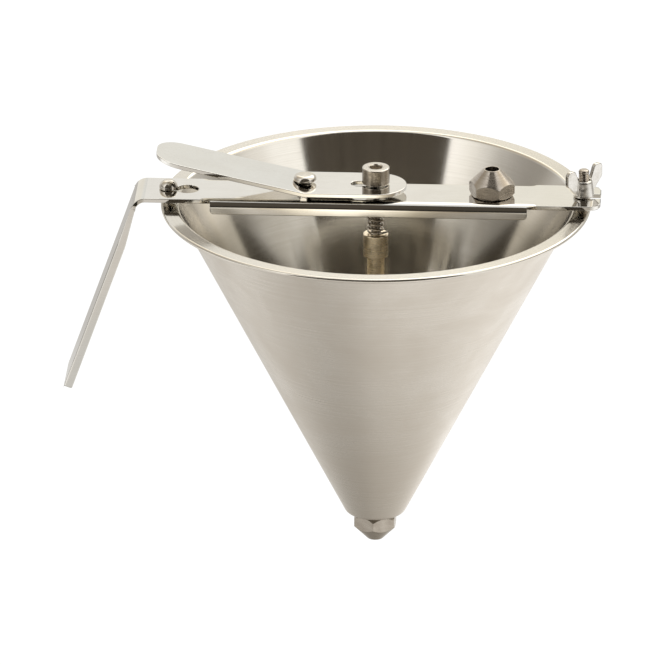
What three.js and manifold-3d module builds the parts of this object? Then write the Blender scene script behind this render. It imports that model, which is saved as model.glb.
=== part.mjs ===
// Fondant funnel: a hand-held cone whose outlet is shut by a spring-loaded valve rod.
// The thumb presses the lever on the crossbar, and its other end lifts the rod by its cap.
// Lengths are in millimetres and +Z is up. +X runs along the crossbar, away from the handle.
// The origin is the centre of the rim's top plane, on the axis of the cone and the rod.

import * as THREE from 'three';
import { mergeVertices } from 'three/addons/utils/BufferGeometryUtils.js';
import Module from 'manifold-3d';

const wasm = await Module();
wasm.setup();

const degree = Math.PI / 180;
const hexSides = 6;

// Fineness of the round forms
const coneSegments = 72;
const roundSegments = 28;
const arcStep = 22.5 * degree;

// Clearances
const seatGap = 0.3; // from a piece that lifts or turns to its seat
const fitGap = 0.3; // around a shank or a thread in its hole
const cutOver = 1; // how far a cutter runs past the face that it cuts

// Cone, spun from one sheet, with a hemmed rim
const rimRadius = 100;
const rimFlange = 6.7; // from the rim's edge to the outside of the wall
const hemReturn = 4.4; // how far the folded leaf comes back under the flange
const coneSheet = 1;
const coneAngle = 27 * degree;
const coneDepth = 156.4; // from the rim's top plane to the underside of the bottom
const rimBend = 1; // radius under the flange, where the wall turns outwards
const bottomBend = 3.6; // outside radius where the wall turns in to the bottom

// Outlet spigot, welded in the bottom of the cone
const spigotBore = 5.25;
const spigotNeck = 6;
const spigotFlange = 8.4;
const spigotFlangeHeight = 0.8;
const threadRadius = 6.7;
const threadHeight = 5.6;
const threadChamfer = 0.7;

// Nozzles: hexagonal caps with a conical tip, one fitted and one spare
const nozzleHeight = 12.5;
const nozzleAcrossFlats = 19;
const nozzleCornerShare = 0.985; // turned radius, as a share of the hexagon's corner radius
const nozzleConeStart = 5.3;
const nozzleTipRadius = 3.8;
const nozzleBore = 3.25;
const nozzleThreadDepth = 6;
const nozzleSeatDepth = 8.2; // from the base to the narrow end of the inner cone
const nozzleBaseChamfer = 1.3;
const fittedNozzleTurn = 3 * degree;
const spareNozzleTurn = 20 * degree;
const spareReach = 54; // from the rod's axis to the spare nozzle's post

// Crossbar and handle: one strip, with a channel in its middle and its left end bent down
const barSheet = 2;
const barWidth = 30;
const barDepth = 6.7; // overall height of the channel
const barFold = 2.6; // outside radius of the channel's folds
const barLift = 2.2; // from the rim to the underside of the bar
const channelLeft = 76.5; // from the rod's axis to the channel's end by the handle
const channelRight = 70.7;
const channelEndCorner = 1.8;
const tabWidth = 27.5;
const tabOverhang = 8; // from the right stud to the end of the bar
const tabCorner = 6;
const handleReach = 15; // from the left stud to the corner where the handle turns down
const handleAngle = 19.7 * degree; // from the vertical
const handleLength = 100.4;
const handleWidth = 30;
const handleDepth = 4; // over the folded edges
const handleFold = 1.7;
const handleBend = 6.8;
const handleFoldStart = 10; // where the folded edges start, from the corner
const handleCorner = 4;
const handleJoin = 20; // length that the strip and the folded grip share

// Studs on the rim
const studCollar = 2.8;
const leftStudNeck = 2.25;
const leftStudHead = 4.3;
const leftStudHeadHeight = 3.9;
const leftStudHeadEdge = 0.6;
const studThread = 2.5;
const rightStudHeight = 13.4; // above the bar
const studEndRound = 1.2;
const keyholeOffset = 9; // from the stud to the hole that its head passes
const keyholeRadius = 5.25;

// Thumb lever and its fulcrum
const leverSheet = 2;
const leverWidth = 28.6;
const leverPivot = 33; // from the rod's axis to the fulcrum
const leverTongue = 70.6; // from the fulcrum to the tip
const leverRise = 12.5 * degree;
const leverBend = 2;
const leverTipCorner = 11.5;
const leverSlotWidth = 7;
const leverSlotLeft = 11.6; // from the rod's axis to the slot's left end
const leverSlotRight = 5.6;
const leverHolePlay = 0.8; // around the pivot screw, for the rocking
const fulcrumHeight = 2;
const fulcrumWidth = 3;
const fulcrumInset = 1; // from the lever's edge to the ridge's end
const pivotShank = 2.5;
const pivotHead = 5.3;
const pivotHeadHeight = 2.9;
const pivotHeadEdge = 0.5;
const pivotNutFlats = 8;
const pivotNutHeight = 4;
const pivotShankEnd = 0.8; // of shank past the nut

// Valve: cap screw, spring collar, rod and return spring
const capRadius = 6.4;
const capHeight = 8;
const capEdge = 0.6;
const capGap = 0.5; // over the lever when the valve is shut
const capSocketFlats = 6;
const capSocketDepth = 4.4;
const shankRadius = 2.5;
const shankPlay = 0.5; // around the shank in the bar
const shankGrip = 5.5; // of shank in the collar
const collarRadius = 5.9;
const collarHeight = 11.1;
const collarEdge = 0.4;
const collarDrop = 18.3; // from the underside of the bar to the collar
const rodRadius = 4.1;
const rodStubRadius = 2.3;
const rodStubLength = 4.6; // of rod thread in the collar
const valveTipRadius = 2.7;
const valveTipHeight = 3;
const springRadius = 3.6; // to the middle of the wire
const springWire = 1;
const springTurns = 7;
const springSteps = 8; // in a turn
const springSides = 5;

// Wing nut
const wingHubBase = 5;
const wingHubTop = 3.9;
const wingHubHeight = 8;
const wingReach = 11.2;
const wingHeight = 14;
const wingThickness = 1.7;
const wingBevel = 0.35;
const wingFoot = 0.8; // from the nut's base to the root of the wing
const wingTipWidth = 4.6;
const wingTipRound = 2.1;
const wingShoulder = 7.4; // height of the wing's lower outer corner
const wingTurn = 47 * degree;

// Heights and places that follow
const barUnder = barLift;
const barTop = barUnder + barSheet;
const leverUnder = barTop + fulcrumHeight + seatGap;
const leverTop = leverUnder + leverSheet;
const capUnder = leverTop + capGap;
const collarTop = barUnder - collarDrop;
const collarUnder = collarTop - collarHeight;
const studX = rimRadius - rimFlange / 2;
const bottomTop = coneSheet - coneDepth;
const spigotStep = -coneDepth - spigotFlangeHeight;
const nozzleBase = spigotStep - seatGap;
const nozzleThread = threadRadius + fitGap;

// An outline from corners [x, y] or [x, y, radius]; a corner with a radius becomes an arc.
function outline(corners) {
  const points = [];
  corners.forEach(([x, y, radius = 0], i) => {
    const corner = new THREE.Vector2(x, y);
    if (radius === 0) {
      points.push(corner);
      return;
    }
    const [beforeX, beforeY] = corners[(i + corners.length - 1) % corners.length];
    const [afterX, afterY] = corners[(i + 1) % corners.length];
    const toBefore = new THREE.Vector2(beforeX - x, beforeY - y).normalize();
    const toAfter = new THREE.Vector2(afterX - x, afterY - y).normalize();
    const half = Math.acos(toBefore.dot(toAfter)) / 2;
    const inwards = toBefore.clone().add(toAfter).normalize();
    const centre = corner.clone().addScaledVector(inwards, radius / Math.sin(half));
    const start = corner.clone().addScaledVector(toBefore, radius / Math.tan(half)).sub(centre);
    const end = corner.clone().addScaledVector(toAfter, radius / Math.tan(half)).sub(centre);
    const sweep = Math.atan2(start.cross(end), start.dot(end));
    const steps = Math.max(2, Math.round(Math.abs(sweep) / arcStep));
    for (let step = 0; step <= steps; step += 1) {
      const arm = start.clone().rotateAround(new THREE.Vector2(), (sweep * step) / steps);
      points.push(arm.add(centre));
    }
  });
  return points;
}

// Only positions, shared vertices merged, and no triangle without an area.
function closed(geometry) {
  geometry.deleteAttribute('normal');
  geometry.deleteAttribute('uv');
  const merged = mergeVertices(geometry);
  const index = [];
  for (let i = 0; i < merged.index.count; i += 3) {
    const [a, b, c] = [0, 1, 2].map((corner) => merged.index.getX(i + corner));
    if (a !== b && b !== c && c !== a) {
      index.push(a, b, c);
    }
  }
  merged.setIndex(index);
  return merged;
}

// Turned about Z: corners [radius, height], from the axis to the axis or round a closed ring.
function turned(corners, segments = roundSegments) {
  const points = outline(corners);
  if (points[0].x > 0) {
    points.push(points[0].clone());
  }
  const geometry = new THREE.LatheGeometry(points, segments);
  geometry.rotateX(Math.PI / 2);
  return closed(geometry);
}

function disc(radius, low, high) {
  return turned([[0, low], [radius, low], [radius, high], [0, high]]);
}

// A plate: drawn in X and Y, between two heights.
function plate(corners, low, high) {
  const shape = new THREE.Shape(outline(corners));
  const geometry = new THREE.ExtrudeGeometry(shape, { depth: high - low, bevelEnabled: false });
  geometry.translate(0, 0, low);
  return closed(geometry);
}

// A bent strip: its edge drawn in X and Z, as wide as told, centred on the crossbar.
function strip(corners, width) {
  const shape = new THREE.Shape(outline(corners));
  const geometry = new THREE.ExtrudeGeometry(shape, { depth: width, bevelEnabled: false });
  geometry.rotateX(Math.PI / 2);
  geometry.translate(0, width / 2, 0);
  return closed(geometry);
}

// A folded section: drawn in Y and Z, drawn out from one X to another.
function section(corners, from, to) {
  const shape = new THREE.Shape(outline(corners));
  const geometry = new THREE.ExtrudeGeometry(shape, { depth: to - from, bevelEnabled: false });
  const alongX = new THREE.Matrix4().makeBasis(
    new THREE.Vector3(0, 1, 0),
    new THREE.Vector3(0, 0, 1),
    new THREE.Vector3(1, 0, 0),
  );
  geometry.applyMatrix4(alongX);
  geometry.translate(from, 0, 0);
  return closed(geometry);
}

function hexagon(acrossFlats, low, high) {
  const radius = acrossFlats / 2 / Math.cos(Math.PI / hexSides);
  const geometry = new THREE.CylinderGeometry(radius, radius, high - low, hexSides);
  geometry.rotateX(Math.PI / 2);
  geometry.translate(0, 0, (low + high) / 2);
  return closed(geometry);
}

function rectangle(left, right, halfWidth, corner = 0) {
  return [
    [left, -halfWidth, corner],
    [right, -halfWidth, corner],
    [right, halfWidth, corner],
    [left, halfWidth, corner],
  ];
}

function toSolid(geometry) {
  const vertProperties = new Float32Array(geometry.attributes.position.array);
  const triVerts = new Uint32Array(geometry.index.array);
  return new wasm.Manifold(new wasm.Mesh({ numProp: 3, vertProperties, triVerts }));
}

function toGeometry(solid) {
  const { vertProperties, triVerts } = solid.getMesh();
  const geometry = new THREE.BufferGeometry();
  geometry.setAttribute('position', new THREE.BufferAttribute(vertProperties, 3));
  geometry.setIndex(new THREE.BufferAttribute(triVerts, 1));
  return geometry;
}

function combined(operation, first, others) {
  const solid = others.reduce((sum, other) => sum[operation](toSolid(other)), toSolid(first));
  return toGeometry(solid);
}

const joined = (first, ...others) => combined('add', first, others);
const cut = (first, ...others) => combined('subtract', first, others);
const common = (first, ...others) => combined('intersect', first, others);

function steel(color, roughness) {
  return new THREE.MeshStandardMaterial({ color, roughness, metalness: 1, flatShading: true });
}

const satinSteel = () => steel(0xb8b1a7, 0.42);
const polishedSteel = () => steel(0xd6d3cb, 0.14);
const turnedSteel = () => steel(0xa89f94, 0.26);
const castSteel = () => steel(0xc4c0b8, 0.22);
const springSteel = () => steel(0x8f8778, 0.3);

function piece(name, geometry, material, parent) {
  geometry.computeVertexNormals();
  const mesh = new THREE.Mesh(geometry, material);
  mesh.name = name;
  parent.add(mesh);
  return mesh;
}

// Cone: wall, rounded bottom with a hole for the spigot, and a rim folded flat on itself.
function coneShell() {
  const slope = Math.tan(coneAngle);
  const wallShift = coneSheet / Math.cos(coneAngle);
  const outside = (z) => rimRadius - rimFlange + z * slope;
  const inside = (z) => outside(z) - wallShift;
  const hole = spigotNeck + fitGap;
  return turned([
    [hole, -coneDepth],
    [outside(-coneDepth), -coneDepth, bottomBend],
    [outside(-coneSheet), -coneSheet, rimBend],
    [rimRadius - hemReturn, -coneSheet],
    [rimRadius - hemReturn, -coneSheet * 2],
    [rimRadius, -coneSheet * 2, coneSheet],
    [rimRadius, 0, coneSheet],
    [inside(0), 0, rimBend + coneSheet],
    [inside(bottomTop), bottomTop, bottomBend - coneSheet],
    [hole, bottomTop],
  ], coneSegments);
}

function outletSpigot() {
  const end = spigotStep - threadHeight;
  return turned([
    [spigotBore, end],
    [threadRadius - threadChamfer, end],
    [threadRadius, end + threadChamfer],
    [threadRadius, spigotStep],
    [spigotFlange, spigotStep],
    [spigotFlange, -coneDepth],
    [spigotNeck, -coneDepth],
    [spigotNeck, bottomTop],
    [spigotBore, bottomTop],
  ]);
}

// Nozzle, standing on its base: a turned blank with its bore, trimmed to a hexagon.
function nozzle() {
  const corner = (nozzleAcrossFlats / 2 / Math.cos(Math.PI / hexSides)) * nozzleCornerShare;
  const blank = turned([
    [nozzleThread, 0],
    [corner - nozzleBaseChamfer, 0],
    [corner, nozzleBaseChamfer],
    [corner, nozzleConeStart],
    [nozzleTipRadius, nozzleHeight],
    [nozzleBore, nozzleHeight],
    [nozzleBore, nozzleSeatDepth],
    [nozzleThread, nozzleThreadDepth],
  ]);
  return common(blank, hexagon(nozzleAcrossFlats, -cutOver, nozzleHeight + cutOver));
}

// Keyhole: the stud's neck sits in the narrow end, and its head passes the round end.
function keyhole(low, high) {
  const halfNeck = leftStudNeck + fitGap;
  const neck = rectangle(-halfNeck, keyholeOffset, halfNeck);
  neck[0].push(halfNeck);
  neck[3].push(halfNeck);
  const left = neck.map(([x, y, corner = 0]) => [x - studX, y, corner]);
  const eye = disc(keyholeRadius, low, high);
  eye.translate(keyholeOffset - studX, 0, 0);
  return joined(plate(left, low, high), eye);
}

// The grip below the bend: the strip with both edges folded in, drawn lying along X.
function grip() {
  const half = handleWidth / 2;
  const folded = section([
    [-half, 0, handleFold],
    [half, 0, handleFold],
    [half, handleDepth],
    [half - barSheet, handleDepth],
    [half - barSheet, barSheet],
    [barSheet - half, barSheet],
    [barSheet - half, handleDepth],
    [-half, handleDepth],
  ], handleFoldStart, handleLength);
  const trim = rectangle(handleFoldStart, handleLength, half, handleCorner);
  const trimmed = common(folded, plate(trim, -cutOver, handleDepth + cutOver));
  trimmed.rotateY(Math.PI / 2 + handleAngle);
  trimmed.translate(-studX - handleReach, 0, barTop);
  return trimmed;
}

function crossbar() {
  const half = barWidth / 2;
  const inner = half - barSheet;
  const channel = section([
    [-half, barTop, barFold],
    [half, barTop, barFold],
    [half, barTop - barDepth],
    [inner, barTop - barDepth],
    [inner, barUnder, barFold - barSheet],
    [-inner, barUnder, barFold - barSheet],
    [-inner, barTop - barDepth],
    [-half, barTop - barDepth],
  ], -channelLeft, channelRight);
  const sideView = strip([
    [-channelLeft, barTop],
    [-channelLeft, barTop - barDepth, channelEndCorner],
    [channelRight, barTop - barDepth, channelEndCorner],
    [channelRight, barTop],
  ], barWidth + cutOver);

  const barEnd = studX + tabOverhang;
  const rightTab = rectangle(0, barEnd, tabWidth / 2);
  rightTab[1][2] = tabCorner;
  rightTab[2][2] = tabCorner;

  const cornerX = -studX - handleReach;
  const alongGrip = handleFoldStart + handleJoin;
  const downX = -Math.sin(handleAngle);
  const downZ = -Math.cos(handleAngle);
  const endX = cornerX + alongGrip * downX;
  const endZ = barTop + alongGrip * downZ;
  const innerShift = (barSheet * (1 + downX)) / -downZ;
  const leftStrip = strip([
    [0, barUnder],
    [0, barTop],
    [cornerX, barTop, handleBend],
    [endX, endZ],
    [endX - barSheet * downZ, endZ + barSheet * downX],
    [cornerX + innerShift, barUnder, handleBend - barSheet],
  ], tabWidth);

  const blank = joined(common(channel, sideView), plate(rightTab, barUnder, barTop), leftStrip, grip());

  const low = barUnder - cutOver;
  const high = barTop + cutOver;
  const pivotHole = disc(pivotShank + fitGap, low, high);
  pivotHole.translate(-leverPivot, 0, 0);
  const halfSlot = studThread + fitGap;
  const slot = rectangle(studX - halfSlot, barEnd + cutOver, halfSlot);
  slot[0][2] = halfSlot;
  slot[3][2] = halfSlot;
  return cut(
    blank,
    disc(shankRadius + shankPlay, low, high),
    pivotHole,
    keyhole(low, high),
    plate(slot, low, high),
  );
}

function leftRimStud() {
  const headUnder = barTop + seatGap;
  const headTop = headUnder + leftStudHeadHeight;
  return turned([
    [0, 0],
    [studCollar, 0],
    [studCollar, barUnder],
    [leftStudNeck, barUnder],
    [leftStudNeck, headUnder],
    [leftStudHead, headUnder],
    [leftStudHead, headTop, leftStudHeadHeight - leftStudHeadEdge],
    [0, headTop],
  ]);
}

function rightRimStud() {
  const top = barTop + rightStudHeight;
  return turned([
    [0, 0],
    [studCollar, 0],
    [studCollar, barUnder],
    [studThread, barUnder],
    [studThread, top, studEndRound],
    [0, top],
  ]);
}

// Wing nut, standing on its base, with its two wings along X.
function wingNut() {
  const hub = turned([
    [studThread + fitGap, 0],
    [wingHubBase, 0],
    [wingHubTop, wingHubHeight, wingHubTop - studThread - fitGap - wingBevel],
    [studThread + fitGap, wingHubHeight],
  ]);
  const rootTop = wingHubHeight - wingBevel;
  const half = [
    [wingHubBase, wingFoot, wingHubTop],
    [wingReach, wingShoulder, wingTipRound],
    [wingReach, wingHeight, wingTipRound],
    [wingReach - wingTipWidth, wingHeight, wingTipRound],
    [wingHubTop, rootTop, wingTipRound],
  ];
  const mirrored = half.map(([x, y, corner]) => [-x, y, corner]).reverse();
  const shape = new THREE.Shape(outline([...half, ...mirrored]));
  const wings = new THREE.ExtrudeGeometry(shape, {
    depth: wingThickness - wingBevel * 2,
    bevelThickness: wingBevel,
    bevelSize: wingBevel,
    bevelOffset: -wingBevel,
    bevelSegments: 1,
  });
  wings.rotateX(Math.PI / 2);
  wings.translate(0, wingThickness / 2 - wingBevel, 0);
  const bore = disc(studThread + fitGap, -cutOver, wingHeight + cutOver);
  return cut(joined(hub, closed(wings)), bore);
}

// One of the two half-round ridges under the lever's bend, on either side of the pivot screw.
function fulcrumRidge(side) {
  const half = fulcrumWidth / 2;
  const start = pivotShank + leverHolePlay;
  const length = leverWidth / 2 - fulcrumInset - start;
  const ridge = strip([
    [-half, barTop],
    [half, barTop],
    [half, barTop + fulcrumHeight, half],
    [-half, barTop + fulcrumHeight, half],
  ], length);
  ridge.translate(0, side * (start + length / 2), 0);
  return ridge;
}

// Pivot screw: the cone under its head leaves the bent lever room to rock.
function pivotScrew() {
  const underHead = (radius) => leverTop + seatGap + radius * Math.tan(leverRise);
  const low = barUnder - pivotNutHeight - pivotShankEnd;
  const top = underHead(pivotHead) + pivotHeadHeight;
  return turned([
    [0, low],
    [pivotShank, low],
    [pivotShank, underHead(pivotShank)],
    [pivotHead, underHead(pivotHead)],
    [pivotHead, top, pivotHeadHeight - pivotHeadEdge],
    [0, top],
  ]);
}

function pivotNut() {
  const low = barUnder - pivotNutHeight;
  const nut = hexagon(pivotNutFlats, low, barUnder);
  return cut(nut, disc(pivotShank + fitGap, low - cutOver, barUnder + cutOver));
}

// Thumb lever, with its underside on the fulcrum at the origin and its flat end to the right.
function thumbLever() {
  const flatEnd = leverPivot + leverWidth / 2;
  const tipX = -leverTongue * Math.cos(leverRise);
  const tipZ = leverTongue * Math.sin(leverRise);
  const bent = strip([
    [0, 0, leverBend + leverSheet],
    [flatEnd, 0],
    [flatEnd, leverSheet],
    [leverSheet * Math.tan(leverRise / 2), leverSheet, leverBend],
    [tipX + leverSheet * Math.sin(leverRise), tipZ + leverSheet * Math.cos(leverRise)],
    [tipX, tipZ],
  ], leverWidth);
  const trim = rectangle(tipX, flatEnd, leverWidth / 2, leverTipCorner);
  trim[1][2] = leverWidth / 2;
  trim[2][2] = leverWidth / 2;
  const high = tipZ + leverSheet + cutOver;
  const slot = rectangle(
    leverPivot - leverSlotLeft,
    leverPivot + leverSlotRight,
    leverSlotWidth / 2,
    leverSlotWidth / 2,
  );
  return cut(
    common(bent, plate(trim, -cutOver, high)),
    disc(pivotShank + leverHolePlay, -cutOver, high),
    plate(slot, -cutOver, high),
  );
}

function capScrew() {
  const shankEnd = collarTop - shankGrip;
  const capTop = capUnder + capHeight;
  const blank = turned([
    [0, shankEnd],
    [shankRadius, shankEnd],
    [shankRadius, capUnder],
    [capRadius, capUnder, capEdge],
    [capRadius, capTop, capEdge],
    [0, capTop],
  ]);
  return cut(blank, hexagon(capSocketFlats, capTop - capSocketDepth, capTop + cutOver));
}

function springCollar() {
  const bore = Math.max(shankRadius, rodStubRadius) + fitGap;
  return turned([
    [bore, collarUnder],
    [collarRadius, collarUnder, collarEdge],
    [collarRadius, collarTop, collarEdge],
    [bore, collarTop],
  ]);
}

// Valve rod: its tapered tip enters the nozzle's inner cone and stops a seat's gap away.
function valveRod() {
  const spread = (nozzleThread - nozzleBore) / (nozzleSeatDepth - nozzleThreadDepth);
  const lift = seatGap / Math.sin(Math.atan(spread));
  const tip = nozzleBase - nozzleSeatDepth + (valveTipRadius - nozzleBore) / spread + lift;
  return turned([
    [0, tip],
    [valveTipRadius, tip],
    [rodRadius, tip + valveTipHeight],
    [rodRadius, collarUnder],
    [rodStubRadius, collarUnder],
    [rodStubRadius, collarUnder + rodStubLength],
    [0, collarUnder + rodStubLength],
  ]);
}

// Return spring: one wire, its ends turned up and down to stand on the bar and the collar.
function returnSpring() {
  const top = barUnder - seatGap;
  const bottom = collarTop + seatGap;
  const coilTop = top - springWire;
  const coilBottom = bottom + springWire;
  const count = springTurns * springSteps;
  const angles = [0];
  const heights = [top];
  for (let step = 0; step <= count; step += 1) {
    angles.push((step * 2 * Math.PI) / springSteps);
    heights.push(coilTop + ((coilBottom - coilTop) * step) / count);
  }
  angles.push(angles.at(-1));
  heights.push(bottom);
  const path = angles.map((angle, i) => new THREE.Vector3(
    springRadius * Math.cos(angle),
    springRadius * Math.sin(angle),
    heights[i],
  ));

  const positions = [];
  path.forEach((point, i) => {
    const before = path[Math.max(i - 1, 0)];
    const after = path[Math.min(i + 1, path.length - 1)];
    const arriving = point.clone().sub(before);
    const leaving = after.clone().sub(point);
    const outwards = new THREE.Vector3(point.x, point.y, 0).normalize();
    const tangent = after.clone().sub(before);
    if (i === 1 || i === path.length - 2) {
      tangent.copy(arriving.normalize()).add(leaving.normalize());
    }
    const sideways = new THREE.Vector3().crossVectors(tangent, outwards).normalize();
    for (let side = 0; side < springSides; side += 1) {
      const turn = (side * 2 * Math.PI) / springSides;
      const corner = point.clone();
      corner.addScaledVector(outwards, (springWire / 2) * Math.cos(turn));
      corner.addScaledVector(sideways, (springWire / 2) * Math.sin(turn));
      positions.push(corner.x, corner.y, corner.z);
    }
  });

  const index = [];
  for (let ring = 0; ring < path.length - 1; ring += 1) {
    for (let side = 0; side < springSides; side += 1) {
      const a = ring * springSides + side;
      const b = ring * springSides + ((side + 1) % springSides);
      index.push(a, b, a + springSides, b, b + springSides, a + springSides);
    }
  }
  const last = (path.length - 1) * springSides;
  for (let side = 1; side < springSides - 1; side += 1) {
    index.push(0, side + 1, side, last, last + side, last + side + 1);
  }

  let nearest = Infinity;
  path.forEach((point, i) => {
    for (let j = i + springSteps / 2; j < path.length; j += 1) {
      nearest = Math.min(nearest, point.distanceTo(path[j]));
    }
  });
  console.log(`return spring: least gap to itself ${(nearest - springWire).toFixed(2)} mm`);

  const geometry = new THREE.BufferGeometry();
  geometry.setAttribute('position', new THREE.Float32BufferAttribute(positions, 3));
  geometry.setIndex(index);
  return geometry;
}

const funnel = new THREE.Group();
piece('cone_shell', coneShell(), satinSteel(), funnel);
piece('outlet_spigot', outletSpigot(), turnedSteel(), funnel);
piece('crossbar', crossbar(), polishedSteel(), funnel);
piece('left_rim_stud', leftRimStud(), turnedSteel(), funnel).position.x = -studX;
piece('right_rim_stud', rightRimStud(), turnedSteel(), funnel).position.x = studX;

const wings = new THREE.Group();
wings.position.set(studX, 0, barTop + seatGap);
wings.rotation.z = wingTurn;
piece('wing_nut', wingNut(), castSteel(), wings);

const fitted = new THREE.Group();
fitted.position.z = nozzleBase;
fitted.rotation.set(Math.PI, 0, fittedNozzleTurn);
piece('fitted_nozzle', nozzle(), turnedSteel(), fitted);

const spare = new THREE.Group();
spare.position.set(spareReach, 0, barTop);
const post = [[0, 0], [threadRadius, 0], [threadRadius, threadHeight, threadChamfer], [0, threadHeight]];
piece('spare_nozzle_post', turned(post), turnedSteel(), spare);
const spareNozzle = piece('spare_nozzle', nozzle(), turnedSteel(), spare);
spareNozzle.position.z = seatGap;
spareNozzle.rotation.z = spareNozzleTurn;

const pivot = new THREE.Group();
pivot.position.x = -leverPivot;
piece('front_fulcrum_ridge', fulcrumRidge(-1), turnedSteel(), pivot);
piece('back_fulcrum_ridge', fulcrumRidge(1), turnedSteel(), pivot);
piece('pivot_screw', pivotScrew(), turnedSteel(), pivot);
piece('pivot_nut', pivotNut(), turnedSteel(), pivot);
piece('thumb_lever', thumbLever(), polishedSteel(), pivot).position.z = leverUnder;

const valve = new THREE.Group();
piece('cap_screw', capScrew(), turnedSteel(), valve);
piece('spring_collar', springCollar(), turnedSteel(), valve);
piece('valve_rod', valveRod(), turnedSteel(), valve);
piece('return_spring', returnSpring(), springSteel(), valve);

funnel.add(wings, fitted, spare, pivot, valve);

export default funnel;
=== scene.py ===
import math

import bmesh
import bpy
from mathutils import Matrix, Vector


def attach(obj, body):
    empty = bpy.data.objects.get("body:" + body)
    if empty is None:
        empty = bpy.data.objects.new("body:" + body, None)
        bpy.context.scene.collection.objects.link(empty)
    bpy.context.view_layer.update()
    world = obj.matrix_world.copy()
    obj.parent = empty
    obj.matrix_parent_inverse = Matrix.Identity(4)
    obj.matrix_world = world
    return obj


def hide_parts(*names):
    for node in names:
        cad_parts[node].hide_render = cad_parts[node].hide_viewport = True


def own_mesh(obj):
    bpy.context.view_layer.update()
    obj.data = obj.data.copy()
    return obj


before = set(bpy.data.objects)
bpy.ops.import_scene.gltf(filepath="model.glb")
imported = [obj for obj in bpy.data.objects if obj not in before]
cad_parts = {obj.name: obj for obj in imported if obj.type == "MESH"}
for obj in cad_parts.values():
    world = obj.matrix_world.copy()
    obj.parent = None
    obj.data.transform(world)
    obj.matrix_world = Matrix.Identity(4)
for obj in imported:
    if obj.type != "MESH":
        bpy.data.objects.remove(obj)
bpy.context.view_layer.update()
print("frame loaded:", len(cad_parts), "nodes")

mm = 0.001  # pieces are drawn in millimetres and shrunk to metres when they are placed
arcStep = math.radians(6)
cutOver = 1  # how far a cutter runs past the face that it cuts
roundGap = 0.001  # what the radius of a round end leaves of half the width
weldGap = 1e-4
tiny = 1e-6
hexSides = 6
threadSteps = 8  # rings in one pitch
bevelSteps = 3

# Heights and places that several pieces share
seatGap = 0.3
barUnder, barTop = 2.2, 4.2
studX = 96.65
pivotX = -33
leverUnder, leverTop = 6.5, 8.5
leverRise = math.radians(12.5)
collarTop, collarUnder = -16.1, -27.2
coneUnder = -156.4
nozzleBase = -157.5


# An outline from corners (x, y) or (x, y, radius); a corner with a radius becomes an arc
def rounded(corners):
    points = []
    for i, corner in enumerate(corners):
        here = Vector(corner[:2])
        radius = corner[2] if len(corner) > 2 else 0
        if not radius:
            points.append(here)
            continue
        before = (Vector(corners[i - 1][:2]) - here).normalized()
        after = (Vector(corners[(i + 1) % len(corners)][:2]) - here).normalized()
        half = before.angle(after) / 2
        centre = here + (before + after).normalized() * (radius / math.sin(half))
        start = here + before * (radius / math.tan(half)) - centre
        end = here + after * (radius / math.tan(half)) - centre
        sweep = math.atan2(start.x * end.y - start.y * end.x, start.dot(end))
        steps = max(2, round(abs(sweep) / arcStep))
        for step in range(steps + 1):
            points.append(centre + Matrix.Rotation(sweep * step / steps, 2) @ start)
    return points


def solid(name, points, faces):
    mesh = bpy.data.meshes.new(name)
    mesh.from_pydata([tuple(point) for point in points], [], faces)
    shape = bmesh.new()
    shape.from_mesh(mesh)
    bmesh.ops.remove_doubles(shape, verts=shape.verts, dist=weldGap)
    bmesh.ops.recalc_face_normals(shape, faces=shape.faces)
    shape.to_mesh(mesh)
    shape.free()
    piece = bpy.data.objects.new(name, mesh)
    bpy.context.scene.collection.objects.link(piece)
    return piece


# Joins rings of points into a skin. A ring of one point closes it. Rings of unlike count stay apart, and each wall
# is a face added between them
def skin(name, rings, loop=False, caps=False, walls=()):
    points, starts = [], []
    for ring in rings:
        starts.append(len(points))
        points.extend(ring)
    faces = []
    pairs = list(range(len(rings) - 1)) + ([-1] if loop else [])
    for i in pairs:
        a, b = rings[i], rings[i + 1]
        if 1 < len(a) != len(b) > 1:
            continue
        startA, startB = starts[i], starts[i + 1]
        for j in range(max(len(a), len(b))):
            k = (j + 1) % max(len(a), len(b))
            quad = [startA + j % len(a), startA + k % len(a), startB + k % len(b), startB + j % len(b)]
            faces.append(tuple(dict.fromkeys(quad)))
    if caps:
        faces.append(tuple(range(len(rings[0]))))
        faces.append(tuple(range(starts[-1], len(points))))
    for wall in walls:
        faces.append(tuple(range(len(points), len(points) + len(wall))))
        points.extend(wall)
    return solid(name, points, faces)


# Turned about an upright axis: corners (radius, height), from the axis to the axis or round a ring; a thread is cut
# in an upright side that reaches over all its height
def turned(name, corners, segments=96, centre=(0, 0), thread=None):
    profile = rounded(corners)
    rows = []
    for i, here in enumerate(profile):
        after = profile[(i + 1) % len(profile)]
        rows.append((here.x, here.y, False))
        upright = abs(here.x - after.x) < tiny and here.x > tiny
        low, high = min(here.y, after.y), max(here.y, after.y)
        if thread and upright and low <= thread["low"] + tiny and high >= thread["high"] - tiny:
            count = round((thread["high"] - thread["low"]) / thread["pitch"] * threadSteps)
            heights = [thread["low"] + (thread["high"] - thread["low"]) * step / count for step in range(count + 1)]
            rows.extend((here.x, height, True) for height in (heights if after.y > here.y else reversed(heights)))

    def reach(radius, height, cut, turn):
        if not cut:
            return radius
        groove = 1 - abs(2 * ((height / thread["pitch"] - turn / math.tau) % 1) - 1)
        fade = max(0, min(1, (height - thread["low"]) / thread["pitch"], (thread["high"] - height) / thread["pitch"]))
        return radius - thread["depth"] * groove * fade

    rings = []
    for radius, height, cut in rows:
        if radius < tiny:
            rings.append([(*centre, height)])
            continue
        ring = []
        for step in range(segments):
            turn = math.tau * step / segments
            arm = reach(radius, height, cut, turn)
            ring.append((centre[0] + arm * math.cos(turn), centre[1] + arm * math.sin(turn), height))
        rings.append(ring)
    return skin(name, rings, loop=profile[0].x > tiny)


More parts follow.
